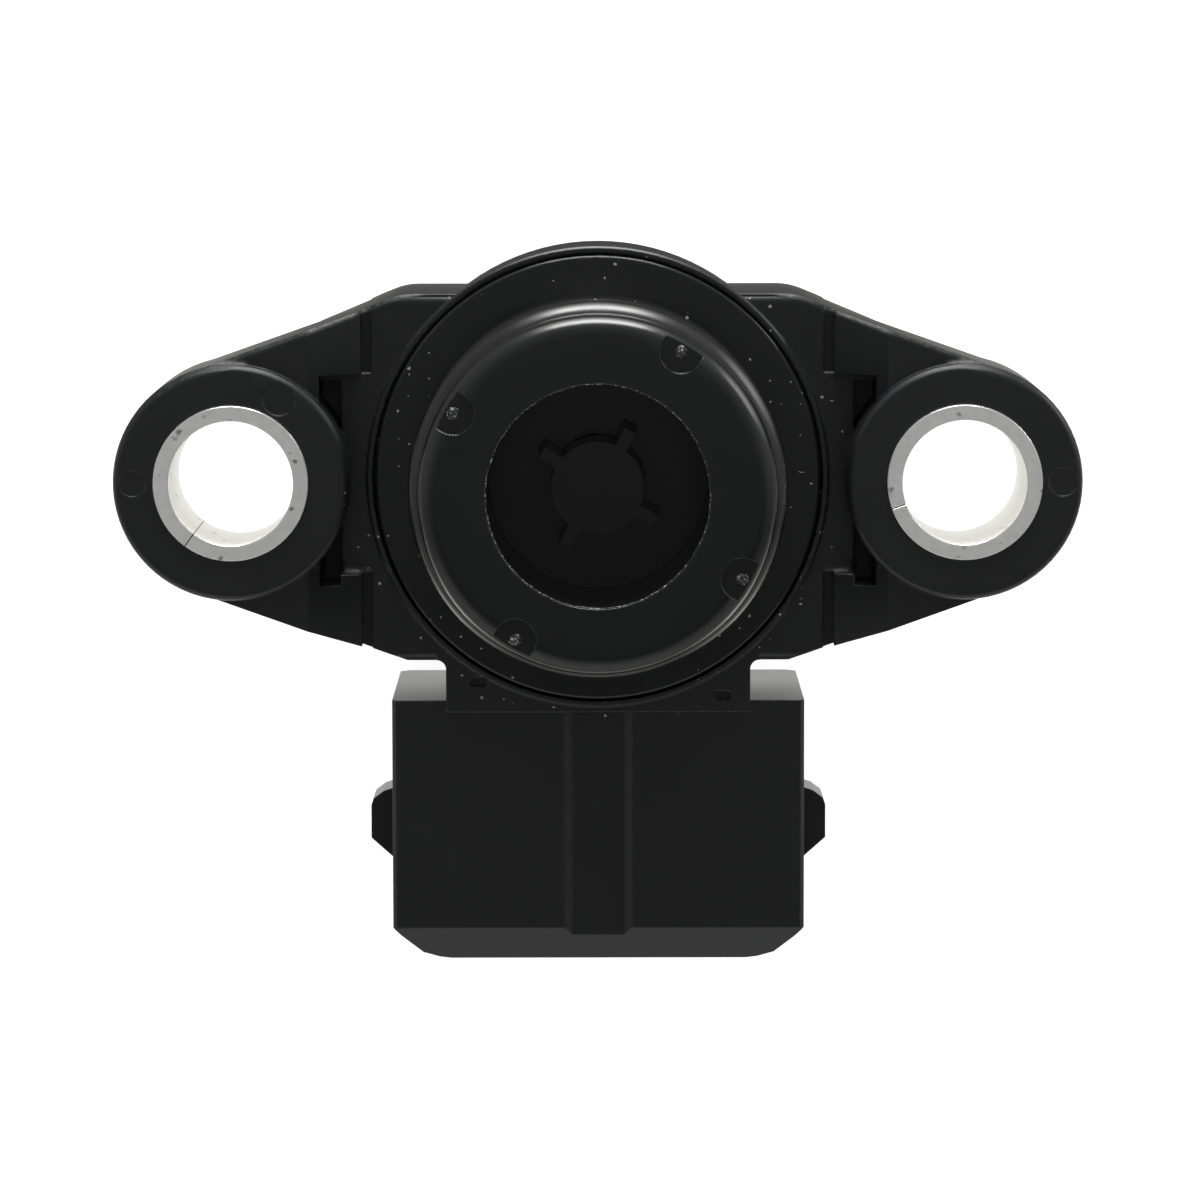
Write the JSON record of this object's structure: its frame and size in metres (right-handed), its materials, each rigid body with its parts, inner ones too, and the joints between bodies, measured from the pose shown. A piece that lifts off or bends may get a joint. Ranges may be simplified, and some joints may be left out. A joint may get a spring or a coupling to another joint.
{
  "type": "manifold absolute pressure sensor",
  "caption": "Moulded engine pressure sensor with bolt ears, a plug-in port sealed by an O-ring, and a shrouded blade connector with side latch lugs.",
  "frame": {"origin": "on the port's axis, in the plane where the limiters' front faces meet the manifold", "axes": "+Z out along the port, X from bolt to bolt, -Y towards the connector's mouth"},
  "size_m": [0.0512, 0.0385, 0.0263],
  "materials": {
    "plastic_black": "satin",
    "rubber_black": "gloss",
    "steel_plated": "satin",
    "tin_plated": "satin",
    "potting_resin": "satin",
    "board_laminate": "satin",
    "glass_base": "polished",
    "silicon": "polished",
    "ring_plastic": "matte",
    "clear_gel": "gloss",
    "wire_metal": "polished",
    "chip_package": "matte",
    "ceramic": "matte",
    "seal_rubber": "matte",
    "adhesive": "satin"
  },
  "bodies": {
    "root": {"housing": "plastic_black", "port_fitting": "plastic_black", "port_o_ring": "rubber_black", "limiter_left": "steel_plated", "limiter_right": "steel_plated", "terminal_left": "tin_plated", "terminal_middle": "tin_plated", "terminal_right": "tin_plated", "terminal_resin": "potting_resin", "circuit_board": "board_laminate", "cell_base": "glass_base", "pressure_chip": "silicon", "gel_ring": "ring_plastic", "protective_gel": "clear_gel", "bond_wires": "wire_metal", "signal_chip": "chip_package", "capacitor_supply": "ceramic", "capacitor_output": "ceramic", "capacitor_reference": "ceramic", "solder_joints": "tin_plated", "cell_seal": "seal_rubber", "flange_adhesive": "adhesive"}
  },
  "joints": []
}
